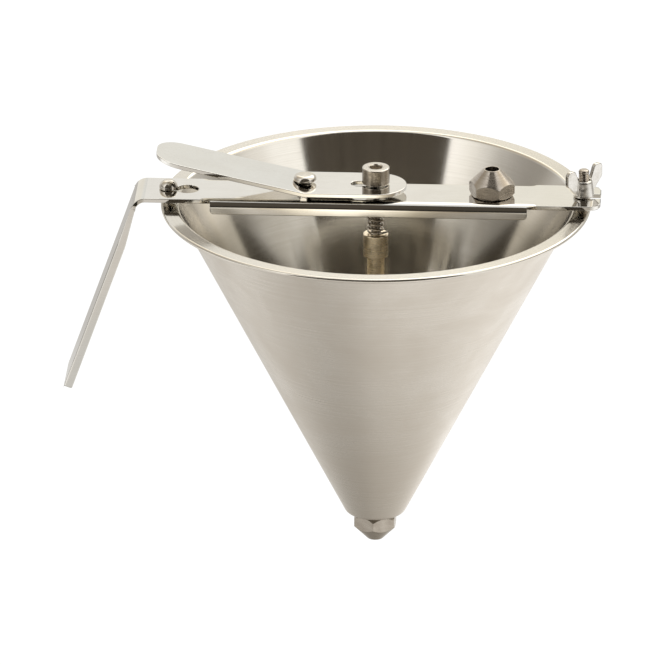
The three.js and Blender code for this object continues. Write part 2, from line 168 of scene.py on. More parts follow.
# Ways to lay a drawn outline: flat, or upright along the bar and drawn out across it
def flat(x, y, height):
    return x, y, height


def acrossBar(x, z, y):
    return x, y, z


def drawnOut(name, corners, low, high, lay=flat):
    outline = rounded(corners)
    return skin(name, [[lay(x, y, end) for x, y in outline] for end in (low, high)], caps=True)


def drill(name, radius, low, high, x=0):
    return turned(name, [(0, low), (radius, low), (radius, high), (0, high)], segments=64, centre=(x, 0))


def rectangle(left, right, half, leftCorner=0, rightCorner=0):
    return [
        (left, -half, leftCorner), (right, -half, rightCorner), (right, half, rightCorner), (left, half, leftCorner),
    ]


def hexCorner(flats):
    return flats / 2 / math.cos(math.pi / hexSides)


def hexagon(flats):
    radius = hexCorner(flats)
    turns = [math.tau * (side + 0.5) / hexSides for side in range(hexSides)]
    return [(radius * math.cos(turn), radius * math.sin(turn)) for turn in turns]


# Bakes a piece's modifiers into its mesh
def settle(piece):
    mesh = bpy.data.meshes.new_from_object(piece.evaluated_get(bpy.context.evaluated_depsgraph_get()))
    piece.modifiers.clear()
    piece.data = mesh


def combine(operation, base, *tools):
    for tool in tools:
        step = base.modifiers.new(operation, "BOOLEAN")
        step.operation, step.solver, step.object = operation, "EXACT", tool
    settle(base)
    for tool in tools:
        bpy.data.objects.remove(tool)
    return base


def move(piece, x=0, y=0, z=0, turn=0):
    piece.data.transform(Matrix.Translation((x, y, z)) @ Matrix.Rotation(turn, 4, "Z"))
    return piece


# Breaks a piece's edges, shrinks it to metres, and puts it in its node's place
def place(piece, body, node, slot, *materials, edge=0, sharp=40):
    if edge:
        bevel = piece.modifiers.new("brokenEdge", "BEVEL")
        bevel.width, bevel.segments, bevel.limit_method = edge, bevelSteps, "ANGLE"
        bevel.angle_limit = math.radians(sharp)
        bevel.use_clamp_overlap = False
        settle(piece)
    piece.data.transform(Matrix.Scale(mm, 4))
    piece.data.materials.clear()
    for material in materials:
        piece.data.materials.append(material)
    piece.data.shade_smooth()
    piece.data.set_sharp_from_angle(angle=math.radians(sharp))
    normals = piece.modifiers.new("evenNormals", "WEIGHTED_NORMAL")
    normals.keep_sharp = True
    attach(piece, body)
    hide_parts(node)


# Materials: one recipe for steel, with its own tint, polish and grain for each finish
def node(tree, kind, inputs=None, **settings):
    made = tree.nodes.new(kind)
    for key, value in settings.items():
        setattr(made, key, value)
    for key, value in (inputs or {}).items():
        if isinstance(value, bpy.types.NodeSocket):
            tree.links.new(value, made.inputs[key])
        else:
            made.inputs[key].default_value = value
    return made


# A smooth step from 0 to 1 between two values
def past(tree, value, low, high):
    inputs = {"Value": value, "From Min": low, "From Max": high}
    return node(tree, "ShaderNodeMapRange", inputs, interpolation_type="SMOOTHSTEP").outputs[0]


def maths(tree, operation, *values):
    return node(tree, "ShaderNodeMath", dict(enumerate(values)), operation=operation).outputs[0]


def vectors(tree, operation, *values):
    made = node(tree, "ShaderNodeVectorMath", dict(enumerate(values)), operation=operation)
    return made.outputs["Value" if operation == "LENGTH" else "Vector"]


def heightOf(tree, coords):
    return node(tree, "ShaderNodeSeparateXYZ", {0: coords}).outputs["Z"]


def noise(tree, inputs, **settings):
    return node(tree, "ShaderNodeTexNoise", inputs, **settings).outputs[0]


def mixed(tree, factor, under, over, way="MIX"):
    mix = node(tree, "ShaderNodeMix", {"Factor": factor}, data_type="RGBA", blend_type=way)
    for socket, colour in ((mix.inputs[6], under), (mix.inputs[7], over)):
        if isinstance(colour, bpy.types.NodeSocket):
            tree.links.new(colour, socket)
        else:
            socket.default_value = (*colour, 1)
    return mix.outputs[2]


# What all finishes share; the lengths are in metres
recipe = {
    "upShare": 1.3, "smudgeShare": 0.45, "shadeFrom": 0.36, "shadeTo": 0.64, "waveHeight": 0.0006,
    "grainDepth": 0.00002, "acrossGrain": 0.25,
}
# Tint and shade are colours, roughness goes from low to high, along and fine are the grain's scales, and from the
# first given height down to the second the colour darkens by a given tint: painted shade
finishes = {
    "spunSteel": {
        "tint": (0.79, 0.745, 0.685), "shade": (0.70, 0.645, 0.575), "roughness": (0.25, 0.36), "anisotropy": 0.6,
        "along": 18, "fine": 5200, "bump": 0.20, "wave": 0.08, "waveScale": 28, "smudge": 34,
    },
    "polishedSteel": {
        "tint": (0.74, 0.71, 0.655), "shade": (0.68, 0.645, 0.58), "roughness": (0.10, 0.155), "anisotropy": 0.95,
        "along": 12, "fine": 3600, "bump": 0.06, "wave": 0.05, "waveScale": 24, "smudge": 30,
        # painted shade on the lower inner wall
        "paintedShadeFrom": -17, "paintedShadeTo": -31, "paintedShadeTint": (0.62, 0.61, 0.585),
    },
    "mirrorSteel": {
        "tint": (0.775, 0.76, 0.725), "shade": (0.73, 0.71, 0.67), "roughness": (0.035, 0.085), "anisotropy": 0,
        "along": 60, "fine": 2600, "bump": 0.03, "wave": 0.10, "waveScale": 45, "smudge": 70,
    },
    "turnedSteel": {
        "tint": (0.70, 0.665, 0.61), "shade": (0.60, 0.56, 0.50), "roughness": (0.12, 0.22), "anisotropy": 0.3,
        "along": 60, "fine": 9000, "bump": 0.12, "wave": 0.03, "waveScale": 120, "smudge": 160,
    },
    # painted shade: a darker copy of the turned steel for the cap's side
    "paintedShadeCapSideSteel": {
        "tint": (0.36, 0.32, 0.265), "shade": (0.27, 0.235, 0.19), "roughness": (0.24, 0.36), "anisotropy": 0.9,
        "along": 900, "fine": 900, "bump": 0.20, "wave": 0.02, "waveScale": 120, "smudge": 160,
    },
    # painted light: a lighter, warmer copy of the turned steel for the collar and rod
    "paintedLightValveSteel": {
        "tint": (0.96, 0.86, 0.68), "shade": (0.84, 0.73, 0.55), "roughness": (0.22, 0.34), "anisotropy": 0.4,
        "along": 60, "fine": 7000, "bump": 0.14, "wave": 0.02, "waveScale": 120, "smudge": 160,
    },
    "dullSteel": {
        "tint": (0.49, 0.445, 0.39), "shade": (0.395, 0.35, 0.30), "roughness": (0.18, 0.30), "anisotropy": 0.3,
        "along": 60, "fine": 8000, "bump": 0.16, "wave": 0.03, "waveScale": 120, "smudge": 150,
    },
    "castSteel": {
        "tint": (0.70, 0.68, 0.645), "shade": (0.60, 0.575, 0.53), "roughness": (0.13, 0.24), "anisotropy": 0,
        "along": 420, "fine": 420, "bump": 0.10, "wave": 0.30, "waveScale": 260, "smudge": 170,
    },
    "wireSteel": {
        "tint": (0.60, 0.55, 0.48), "shade": (0.42, 0.37, 0.31), "roughness": (0.20, 0.34), "anisotropy": 0,
        "along": 300, "fine": 2400, "bump": 0.10, "wave": 0.05, "waveScale": 300, "smudge": 240,
    },
}


# Grain runs round the axis of a turned piece, whose centre is given, and along the strip of a rolled one
def steel(name, centre=None):
    finish = finishes[name]
    material = bpy.data.materials.new(name)
    material.use_nodes = True
    tree = material.node_tree
    shader = tree.nodes["Principled BSDF"]
    coords = node(tree, "ShaderNodeTexCoord").outputs["Object"]
    along, fine = finish["along"], finish["fine"]
    if centre is None:
        lines = vectors(tree, "MULTIPLY", coords, (along, fine, fine))
    else:
        arm = vectors(tree, "SUBTRACT", coords, (centre[0] * mm, centre[1] * mm, 0))
        spread = vectors(tree, "MULTIPLY", arm, (1, 1, 0))
        reach = vectors(tree, "LENGTH", spread)
        course = maths(tree, "MULTIPLY_ADD", heightOf(tree, coords), recipe["upShare"], reach)
        upwards = node(tree, "ShaderNodeCombineXYZ", {"Z": maths(tree, "MULTIPLY", course, fine)})
        lines = vectors(tree, "ADD", vectors(tree, "MULTIPLY", spread, (along, along, along)), upwards.outputs[0])
    scratches = noise(tree, {"Vector": lines, "Scale": 1, "Detail": 3, "Roughness": 0.65})
    smudges = noise(tree, {
        "Vector": coords, "Scale": finish["smudge"], "Detail": 3, "Roughness": 0.55, "Distortion": 0.4,
    })
    waves = noise(tree, {"Vector": coords, "Scale": finish["waveScale"], "Detail": 1, "Roughness": 0.4})
    pattern = {"Factor": recipe["smudgeShare"], "A": scratches, "B": smudges}
    blend = node(tree, "ShaderNodeMix", pattern, data_type="FLOAT").outputs[0]
    share = past(tree, blend, recipe["shadeFrom"], recipe["shadeTo"])
    tone = mixed(tree, share, finish["tint"], finish["shade"])
    # Painted shade: below a given height the colour darkens by a given tint
    if "paintedShadeTint" in finish:
        depth = past(tree, heightOf(tree, coords), finish["paintedShadeFrom"] * mm, finish["paintedShadeTo"] * mm)
        tone = mixed(tree, depth, tone, finish["paintedShadeTint"], "MULTIPLY")
    low, high = finish["roughness"]
    polish = node(tree, "ShaderNodeMapRange", {"Value": share, "To Min": low, "To Max": high})
    swell = node(tree, "ShaderNodeBump", {
        "Strength": finish["wave"], "Distance": recipe["waveHeight"], "Height": waves,
    })
    scored = node(tree, "ShaderNodeBump", {
        "Strength": finish["bump"], "Distance": recipe["grainDepth"], "Height": scratches, "Normal": swell.outputs[0],
    })
    tree.links.new(tone, shader.inputs["Base Color"])
    tree.links.new(polish.outputs[0], shader.inputs["Roughness"])
    tree.links.new(scored.outputs[0], shader.inputs["Normal"])
    shader.inputs["Metallic"].default_value = 1
    shader.inputs["Anisotropic"].default_value = finish["anisotropy"]
    if finish["anisotropy"]:
        shader.inputs["Anisotropic Rotation"].default_value = recipe["acrossGrain"]
        tangent = node(tree, "ShaderNodeTangent", direction_type="RADIAL", axis="Z")
        tree.links.new(tangent.outputs[0], shader.inputs["Tangent"])
    return material


spunSteel = steel("spunSteel", (0, 0))
polishedSteel = steel("polishedSteel", (0, 0))
mirrorSteel = steel("mirrorSteel")
turnedSteel = steel("turnedSteel", (0, 0))
paintedShadeCapSideSteel = steel("paintedShadeCapSideSteel", (0, 0))
paintedLightValveSteel = steel("paintedLightValveSteel", (0, 0))
dullSteel = steel("dullSteel", (0, 0))
castSteel = steel("castSteel")
wireSteel = steel("wireSteel")
print("materials made")

# Cone: spun wall, rounded bottom with a hole, and a rim folded flat on itself
cone = {
    "rim": 100, "flange": 6.7, "hem": 4.4, "sheet": 1, "angle": math.radians(27),
    "rimBend": 1, "bottomBend": 3.6, "hole": 6.3, "hemSlit": 0.12, "slitEdge": 0.2, "leafEdge": 0.3,
    "segments": 288,
}


def coneShell():
    slope = math.tan(cone["angle"])
    sheet = cone["sheet"]

    def outside(z):
        return cone["rim"] - cone["flange"] + z * slope

    def inside(z):
        return outside(z) - sheet / math.cos(cone["angle"])

    bottom = coneUnder + sheet
    leaf = cone["rim"] - cone["hem"]
    piece = turned("coneShell", [
        (cone["hole"], coneUnder),
        (outside(coneUnder), coneUnder, cone["bottomBend"]),
        (outside(-sheet), -sheet, cone["rimBend"]),
        (cone["rim"] - sheet, -sheet),
        (cone["rim"] - sheet, -sheet - cone["hemSlit"]),
        (leaf, -sheet - cone["hemSlit"], cone["slitEdge"]),
        (leaf, -sheet * 2, cone["leafEdge"]),
        (cone["rim"], -sheet * 2, sheet),
        (cone["rim"], 0, sheet),
        (inside(0), 0, cone["rimBend"] + sheet),
        (inside(bottom), bottom, cone["bottomBend"] - sheet),
        (cone["hole"], bottom),
    ], segments=cone["segments"])
    # The inner wall's steel carries painted shade lower down
    place(piece, "funnel", "cone_shell", "satin_steel", spunSteel, polishedSteel)
    for face in piece.data.polygons:
        centre = face.center / mm
        reach = math.hypot(centre.x, centre.y)
        face.material_index = int(reach < outside(centre.z) - sheet / 2 or centre.z > -sheet)


coneShell()

spigot = {
    "bore": 5.25, "neck": 6, "flange": 8.4, "flangeHeight": 0.8,
    "thread": 6.7, "threadHeight": 5.6, "chamfer": 0.7, "pitch": 1.25, "threadDepth": 0.6,
    "flangeEdge": 0.15, "boreEdge": 0.3,
}


def outletSpigot():
    step = coneUnder - spigot["flangeHeight"]
    end = step - spigot["threadHeight"]
    piece = turned("outletSpigot", [
        (spigot["bore"], end),
        (spigot["thread"] - spigot["chamfer"], end),
        (spigot["thread"], end + spigot["chamfer"]),
        (spigot["thread"], step),
        (spigot["flange"], step, spigot["flangeEdge"]),
        (spigot["flange"], coneUnder, spigot["flangeEdge"]),
        (spigot["neck"], coneUnder),
        (spigot["neck"], coneUnder + cone["sheet"]),
        (spigot["bore"], coneUnder + cone["sheet"], spigot["boreEdge"]),
    ], thread={
        "low": end + spigot["chamfer"], "high": step, "pitch": spigot["pitch"], "depth": spigot["threadDepth"],
    })
    place(piece, "funnel", "outlet_spigot", "turned_steel", turnedSteel)


outletSpigot()

# Nozzles: a turned blank trimmed to a hexagon, so that its cone leaves an arch on each flat
nozzle = {
    "height": 12.5, "flats": 19, "cornerShare": 0.985, "coneStart": 5.3, "tip": 3.8, "bore": 3.25,
    "thread": 7, "threadDepth": 6, "seatDepth": 8.2, "baseChamfer": 1.3, "baseEdge": 0.3, "tipRound": 0.25,
    "edge": 0.12, "fittedTurn": math.radians(3), "spareTurn": math.radians(20),
}


def nozzlePiece(name):
    corner = hexCorner(nozzle["flats"]) * nozzle["cornerShare"]
    blank = turned(name, [
        (nozzle["thread"], 0),
        (corner - nozzle["baseChamfer"], 0, nozzle["baseEdge"]),
        (corner, nozzle["baseChamfer"]),
        (corner, nozzle["coneStart"]),
        (nozzle["tip"], nozzle["height"], nozzle["tipRound"]),
        (nozzle["bore"], nozzle["height"], nozzle["tipRound"] / 2),
        (nozzle["bore"], nozzle["seatDepth"]),
        (nozzle["thread"], nozzle["threadDepth"]),
    ], segments=192)
    flats = drawnOut(name + "Flats", hexagon(nozzle["flats"]), -cutOver, nozzle["height"] + cutOver)
    return combine("INTERSECT", blank, flats)


fittedNozzle = nozzlePiece("fittedNozzle")
upsideDown = Matrix.Translation((0, 0, nozzleBase)) @ Matrix.Rotation(math.pi, 4, "X")
fittedNozzle.data.transform(upsideDown @ Matrix.Rotation(nozzle["fittedTurn"], 4, "Z"))
place(fittedNozzle, "fitted_nozzle", "fitted_nozzle", "nozzle_steel", dullSteel, edge=nozzle["edge"], sharp=20)

spareX = 54
spareNozzle = move(nozzlePiece("spareNozzle"), spareX, 0, barTop + seatGap, nozzle["spareTurn"])
spareSteel = steel("dullSteel", (spareX, 0))
place(spareNozzle, "spare_nozzle", "spare_nozzle", "nozzle_steel", spareSteel, edge=nozzle["edge"], sharp=20)

post = turned("spareNozzlePost", [
    (0, barTop),
    (spigot["thread"], barTop),
    (spigot["thread"], barTop + spigot["threadHeight"] - spigot["chamfer"]),
    (spigot["thread"] - spigot["chamfer"], barTop + spigot["threadHeight"]),
    (0, barTop + spigot["threadHeight"]),
], centre=(spareX, 0), thread={
    "low": barTop, "high": barTop + spigot["threadHeight"] - spigot["chamfer"],
    "pitch": spigot["pitch"], "depth": spigot["threadDepth"],
})
place(post, "funnel", "spare_nozzle_post", "turned_steel", spareSteel)
print("cone, spigot and nozzles made")

# Crossbar and handle: one strip, folded down along its edges in the channel and on the grip
bar = {
    "sheet": 2, "halfWidth": 15, "depth": 6.7, "fold": 3.8, "channelLeft": -76.5, "channelRight": 70.7,
    "endCorner": 1.8, "droop": 5, "droopSteps": 6, "guard": 0.8, "tabHalf": 13.75, "end": studX + 8, "tabCorner": 6,
    "edge": 0.28,
    "shankHole": 3, "pivotHole": 2.8, "keyholeEye": 5.25, "eyeReach": 9, "neckHalf": 2.55, "slotHalf": 2.8,
    "cornerSteps": 10, "sideSteps": 6,
}
handle = {
    "cornerX": -studX - 15, "angle": math.radians(19.7), "length": 100.4, "halfWidth": 15, "depth": 4, "fold": 1.0,
    "bend": 6.8, "bendSteps": 16, "foldStart": 3, "foldFull": 24, "foldSteps": 12, "endCorner": 1.2,
}


# Sections of the strip, as (across, out) down one side from its outer face to its underside and up the other side.
# The grip's edges are folded to any depth and radius
def foldedSection(half, depth, fold):
    sheet, steps = bar["sheet"], bar["cornerSteps"]
    flatHalf = bar["halfWidth"] - bar["fold"]
    inner = max(fold - sheet, 0)
    side = [(flatHalf - bar["guard"], 0), (flatHalf, 0)]
    for step in range(steps + 1):
        turn = math.pi / 2 * (1 - step / steps)
        side.append((half - fold + fold * math.cos(turn), -fold + fold * math.sin(turn)))
    side += [(half, -depth), (half - sheet if depth > sheet else flatHalf, -depth)]
    for step in range(steps + 1):
        turn = math.pi / 2 * step / steps
        arc = (half - sheet - inner + inner * math.cos(turn), -sheet - inner + inner * math.sin(turn))
        side.append(arc if depth > sheet else (flatHalf, -sheet))
    side += [(flatHalf, -sheet), (flatHalf - bar["guard"], -sheet)]
    return side + [(-y, n) for y, n in reversed(side)]


# Both faces of the channel's fold at an angle round it
def roundFold(turn):
    flatHalf, inner = bar["halfWidth"] - bar["fold"], bar["fold"] - bar["sheet"]
    outer = (flatHalf + bar["fold"] * math.sin(turn), -bar["fold"] * (1 - math.cos(turn)))
    return outer, (flatHalf + inner * math.sin(turn), -bar["sheet"] - inner * (1 - math.cos(turn)))


# How far round the fold the tabs' edges lie where they meet the channel
tabTurn = math.asin((bar["tabHalf"] - bar["halfWidth"] + bar["fold"]) / bar["fold"])


# The tabs; next to the channel their edges are drawn down into its folds
def tabSection(half, drawn):
    steps = bar["cornerSteps"]
    flatHalf = min(bar["halfWidth"] - bar["fold"], half)
    upper, lower = [], []
    for step in range(steps + 1):
        y = flatHalf + (half - flatHalf) * step / steps
        flatPair = (y, 0), (y, -bar["sheet"])
        for row, level, folded in zip((upper, lower), flatPair, roundFold(tabTurn * step / steps)):
            row.append(tuple(a + (b - a) * drawn for a, b in zip(level, folded)))
    side = [(flatHalf - bar["guard"], 0), (flatHalf, 0)] + upper + [lower[-1]] * 2 + lower[::-1]
    side += [(flatHalf, -bar["sheet"]), (flatHalf - bar["guard"], -bar["sheet"])]
    return side + [(-y, n) for y, n in reversed(side)]


# The channel, and the part of its section that stands free at its ends
def channelSection(depth, free=False):
    steps, more = bar["cornerSteps"], bar["sideSteps"]
    flatHalf = bar["halfWidth"] - bar["fold"]
    turns = [tabTurn * step / steps for step in range(steps + 1)]
    turns += [tabTurn + (math.pi / 2 - tabTurn) * step / more for step in range(1, more + 1)]
    if free:
        turns = turns[steps:]
    outer, inner = zip(*(roundFold(turn) for turn in turns))
    side = [*outer, (bar["halfWidth"], -depth), (bar["halfWidth"] - bar["sheet"], -depth), *inner[::-1]]
    if free:
        return side
    upper = [(flatHalf - bar["guard"], 0), (flatHalf, 0)]
    side = upper + side + [(y, -bar["sheet"]) for y, n in reversed(upper)]
    return side + [(-y, n) for y, n in reversed(side)]


def crossbar():
    sheet = bar["sheet"]
    turnDown = math.pi / 2 - handle["angle"]
    tangent = handle["bend"] * math.tan(turnDown / 2)

    # A ring of the strip: its outer face passes through (x, z) and points up, tilted by the slope
    def ring(x, z, slope, section):
        out = Vector((-math.sin(slope), math.cos(slope)))
        return [(x + out.x * n, y, z + out.y * n) for y, n in section]

    rings = []

    def onBar(x, section):
        rings.append(ring(x, barTop, 0, section))

    droopSteps, cornerSteps = bar["droopSteps"], bar["cornerSteps"]
    droopShares = [(1 - math.cos(math.pi * step / droopSteps)) / 2 for step in range(droopSteps + 1)]
    quarter = [math.pi / 2 * step / cornerSteps for step in range(cornerSteps + 1)]
    corner = bar["tabCorner"]
    for turn in quarter:
        half = bar["tabHalf"] - corner * (1 - math.sin(turn))
        onBar(bar["end"] - corner * (1 - math.cos(turn)), tabSection(half, 0))
    for step, share in enumerate(droopShares):
        onBar(bar["channelRight"] + bar["droop"] * (1 - step / droopSteps), tabSection(bar["tabHalf"], share))
    corner = bar["endCorner"]
    ends = [(corner * (1 - math.cos(turn)), bar["depth"] - corner * (1 - math.sin(turn))) for turn in quarter]
    for inwards, depth in ends:
        onBar(bar["channelRight"] - inwards, channelSection(depth))
    for inwards, depth in reversed(ends):
        onBar(bar["channelLeft"] + inwards, channelSection(depth))
    for step, share in enumerate(reversed(droopShares)):
        onBar(bar["channelLeft"] - bar["droop"] * step / droopSteps, tabSection(bar["tabHalf"], share))

    # The bend, where the strip spreads to the grip's width, then the grip, whose edges fold down gradually
    bendSteps, foldSteps = handle["bendSteps"], handle["foldSteps"]
    for step in range(bendSteps + 1):
        slope = turnDown * step / bendSteps
        x = handle["cornerX"] + tangent - handle["bend"] * math.sin(slope)
        z = barTop - handle["bend"] * (1 - math.cos(slope))
        spread = (1 - math.cos(math.pi * step / bendSteps)) / 2
        half = bar["tabHalf"] + (handle["halfWidth"] - bar["tabHalf"]) * spread
        rings.append(ring(x, z, slope, foldedSection(half, sheet, 0)))
    foldLength = handle["foldFull"] - handle["foldStart"]
    grip = []
    for step in range(1, foldSteps + 1):
        share = step / foldSteps
        depth = sheet + (handle["depth"] - sheet) * share
        grip.append((handle["foldStart"] + foldLength * share, handle["halfWidth"], depth, handle["fold"] * share))
    corner = handle["endCorner"]
    for turn in quarter:
        drawnIn = corner * (1 - math.cos(turn))
        along = handle["length"] - corner * (1 - math.sin(turn))
        grip.append((along, handle["halfWidth"] - drawnIn, handle["depth"] - drawnIn, handle["fold"]))
    for along, *section in grip:
        x = handle["cornerX"] - along * math.sin(handle["angle"])
        z = barTop - along * math.cos(handle["angle"])
        rings.append(ring(x, z, turnDown, foldedSection(*section)))
    walls = []
    for end in (bar["channelRight"], bar["channelLeft"]):
        free = channelSection(ends[0][1], free=True)
        walls += [[(end, way * y, barTop + n) for y, n in free] for way in (-1, 1)]
    piece = skin("crossbar", rings, caps=True, walls=walls)

    low, high = barUnder - cutOver, barTop + cutOver
    neckHalf, slotHalf = bar["neckHalf"], bar["slotHalf"]
    neck = rectangle(-neckHalf, bar["eyeReach"], neckHalf, neckHalf - roundGap)
    slot = rectangle(studX - slotHalf, bar["end"] + cutOver, slotHalf, slotHalf - roundGap)
    cutters = [
        drill("shankHole", bar["shankHole"], low, high),
        drill("pivotHole", bar["pivotHole"], low, high, pivotX),
        drill("keyholeEye", bar["keyholeEye"], low, high, bar["eyeReach"] - studX),
        move(drawnOut("keyholeNeck", neck, low, high), -studX),
        drawnOut("studSlot", slot, low, high),
    ]
    combine("DIFFERENCE", piece, *cutters)
    place(piece, "funnel", "crossbar", "polished_steel", mirrorSteel, edge=bar["edge"])


crossbar()
print("crossbar made")

# Studs on the rim
stud = {
    "collar": 2.8, "leftNeck": 2.25, "leftHead": 4.3, "leftHeadHeight": 3.9, "leftHeadEdge": 0.6,
    "thread": 2.5, "rightHeight": 13.4, "endRound": 1.2, "pitch": 0.8, "threadDepth": 0.42, "collarEdge": 0.2,
    "headUnderEdge": 0.25,
}
headUnder = barTop + seatGap
leftStud = turned("leftRimStud", [
    (0, 0),
    (stud["collar"], 0),
    (stud["collar"], barUnder, stud["collarEdge"]),
    (stud["leftNeck"], barUnder),
    (stud["leftNeck"], headUnder),
    (stud["leftHead"], headUnder, stud["headUnderEdge"]),
    (stud["leftHead"], headUnder + stud["leftHeadHeight"], stud["leftHeadHeight"] - stud["leftHeadEdge"]),
    (0, headUnder + stud["leftHeadHeight"]),
], centre=(-studX, 0))
leftStudSteel = steel("turnedSteel", (-studX, 0))
place(leftStud, "funnel", "left_rim_stud", "turned_steel", leftStudSteel)

studTop = barTop + stud["rightHeight"]
rightStud = turned("rightRimStud", [
    (0, 0),
    (stud["collar"], 0),
    (stud["collar"], barUnder, stud["collarEdge"]),
    (stud["thread"], barUnder),
    (stud["thread"], studTop, stud["endRound"]),
    (0, studTop),
], centre=(studX, 0), thread={
    "low": barTop, "high": studTop - stud["endRound"], "pitch": stud["pitch"], "depth": stud["threadDepth"],
})
rightStudSteel = steel("dullSteel", (studX, 0))
place(rightStud, "funnel", "right_rim_stud", "turned_steel", rightStudSteel)

# Wing nut: hub and wings melted together and smoothed as a polished casting, then bored
wing = {
    "hubBase": 5, "hubTop": 3.9, "hubHeight": 8, "reach": 11.2, "height": 14, "thickness": 1.7,
    "foot": 0.8, "tipWidth": 4.6, "tipRound": 2.1, "shoulder": 7.4, "turn": math.radians(47),
    "bore": 2.8, "voxel": 0.2, "smoothing": 5, "softness": 0.5, "grown": 0.12,
    "baseEdge": 0.5, "topEdge": 1.2, "rootDrop": 0.35,
}


def wingNut():
    grown = wing["grown"]
    hub = turned("wingNut", [
        (0, 0),
        (wing["hubBase"], 0, wing["baseEdge"]),
        (wing["hubTop"], wing["hubHeight"], wing["topEdge"]),
        (0, wing["hubHeight"]),
    ])
    half = [
        (wing["hubBase"], wing["foot"], wing["hubTop"]),
        (wing["reach"] + grown, wing["shoulder"], wing["tipRound"]),
        (wing["reach"] + grown, wing["height"] + grown, wing["tipRound"]),
        (wing["reach"] - wing["tipWidth"] - grown, wing["height"] + grown, wing["tipRound"]),
        (wing["hubTop"], wing["hubHeight"] - wing["rootDrop"], wing["tipRound"]),
    ]
    outline = half + [(-x, z, corner) for x, z, corner in reversed(half)]
    spread = wing["thickness"] / 2 + grown
    blade = drawnOut("wingBlade", outline, -spread, spread, acrossBar)
    combine("UNION", hub, blade)
    melt = hub.modifiers.new("melt", "REMESH")
    melt.mode, melt.voxel_size, melt.use_smooth_shade = "VOXEL", wing["voxel"], True
    soften = hub.modifiers.new("soften", "SMOOTH")
    soften.factor, soften.iterations = wing["softness"], wing["smoothing"]
    settle(hub)
    combine("DIFFERENCE", hub, drill("wingBore", wing["bore"], -cutOver, wing["height"]))
    move(hub, studX, 0, barTop + seatGap, wing["turn"])
    place(hub, "wing_nut", "wing_nut", "cast_steel", castSteel)


wingNut()
print("studs and wing nut made")

# Fulcrum: two half-round ridges, the pivot screw between them and its nut
ridge = {"height": 2, "half": 1.5, "start": 3.3, "end": 13.3, "edge": 0.15}
ridgeSides = ((-1, "front_fulcrum_ridge", "frontFulcrumRidge"), (1, "back_fulcrum_ridge", "backFulcrumRidge"))
for side, nodeName, name in ridgeSides:
    low, high = sorted((side * ridge["start"], side * ridge["end"]))
    half = ridge["half"]
    piece = drawnOut(name, [
        (pivotX - half, barTop),
        (pivotX + half, barTop),
        (pivotX + half, barTop + ridge["height"], half - roundGap),
        (pivotX - half, barTop + ridge["height"], half - roundGap),
    ], low, high, acrossBar)
    place(piece, "funnel", nodeName, "turned_steel", mirrorSteel, edge=ridge["edge"])

pivot = {
    "shank": 2.5, "head": 5.3, "headHeight": 2.6, "headEdge": 0.4, "nutFlats": 8, "nutHeight": 4, "shankEnd": 0.8,
    "shankEdge": 0.3, "headUnderEdge": 0.2, "threadMore": 0.5, "nutBore": 2.8, "boreEdge": 0.2, "nutChamfer": 0.5,
    "nutRise": 0.4, "nutOver": 0.1, "nutEdge": 0.08,
}


def underHead(radius):
    return leverTop + seatGap + radius * math.tan(leverRise)


pivotSteel = steel("turnedSteel", (pivotX, 0))
nutUnder = barUnder - pivot["nutHeight"]
pivotTop = underHead(pivot["head"]) + pivot["headHeight"]
pivotScrew = turned("pivotScrew", [
    (0, nutUnder - pivot["shankEnd"]),
    (pivot["shank"], nutUnder - pivot["shankEnd"], pivot["shankEdge"]),
    (pivot["shank"], underHead(pivot["shank"])),
    (pivot["head"], underHead(pivot["head"]), pivot["headUnderEdge"]),
    (pivot["head"], pivotTop, pivot["headHeight"] - pivot["headEdge"]),
    (0, pivotTop),
], centre=(pivotX, 0), thread={
    "low": nutUnder - pivot["threadMore"], "high": barUnder, "pitch": stud["pitch"], "depth": stud["threadDepth"],
})
place(pivotScrew, "funnel", "pivot_screw", "turned_steel", pivotSteel)

corner = hexCorner(pivot["nutFlats"])
pivotNut = turned("pivotNut", [
    (pivot["nutBore"], nutUnder, pivot["boreEdge"]),
    (corner - pivot["nutChamfer"], nutUnder),
    (corner + pivot["nutOver"], nutUnder + pivot["nutRise"]),
    (corner + pivot["nutOver"], barUnder - pivot["nutRise"]),
    (corner - pivot["nutChamfer"], barUnder),
    (pivot["nutBore"], barUnder, pivot["boreEdge"]),
])
nutFlats = drawnOut("nutFlats", hexagon(pivot["nutFlats"]), nutUnder - cutOver, barUnder + cutOver)
combine("INTERSECT", pivotNut, nutFlats)
move(pivotNut, pivotX)
place(pivotNut, "funnel", "pivot_nut", "turned_steel", pivotSteel, edge=pivot["nutEdge"], sharp=20)

# Thumb lever: one bent strip with a slot round the cap's shank
lever = {
    "sheet": 2, "half": 14.3, "tongue": 70.6, "bend": 2, "tipCorner": 11.5,
    "slotHalf": 3.5, "slotLeft": -11.6, "slotRight": 5.6, "hole": 3.3, "edge": 0.28,
}


def thumbLever():
    sheet = lever["sheet"]
    flatEnd = lever["half"]
    tipX = pivotX - lever["tongue"] * math.cos(leverRise)
    over = lever["tongue"] + cutOver
    endX, endZ = pivotX - over * math.cos(leverRise), leverUnder + over * math.sin(leverRise)
    bent = drawnOut("thumbLever", [
        (pivotX, leverUnder, lever["bend"] + sheet),
        (flatEnd + cutOver, leverUnder),
        (flatEnd + cutOver, leverTop),
        (pivotX + sheet * math.tan(leverRise / 2), leverTop, lever["bend"]),
        (endX + sheet * math.sin(leverRise), endZ + sheet * math.cos(leverRise)),
        (endX, endZ),
    ], -lever["half"] - cutOver, lever["half"] + cutOver, acrossBar)
    trim = rectangle(tipX, flatEnd, lever["half"], lever["tipCorner"], lever["half"] - roundGap)
    low, high = leverUnder - cutOver, endZ + sheet + cutOver
    combine("INTERSECT", bent, drawnOut("leverTrim", trim, low, high))
    end = lever["slotHalf"] - roundGap
    slot = rectangle(lever["slotLeft"], lever["slotRight"], lever["slotHalf"], end, end)
    hole = drill("leverHole", lever["hole"], low, high, pivotX)
    combine("DIFFERENCE", bent, drawnOut("leverSlot", slot, low, high), hole)
    place(bent, "lever", "thumb_lever", "polished_steel", mirrorSteel, edge=lever["edge"])


thumbLever()
print("fulcrum and lever made")

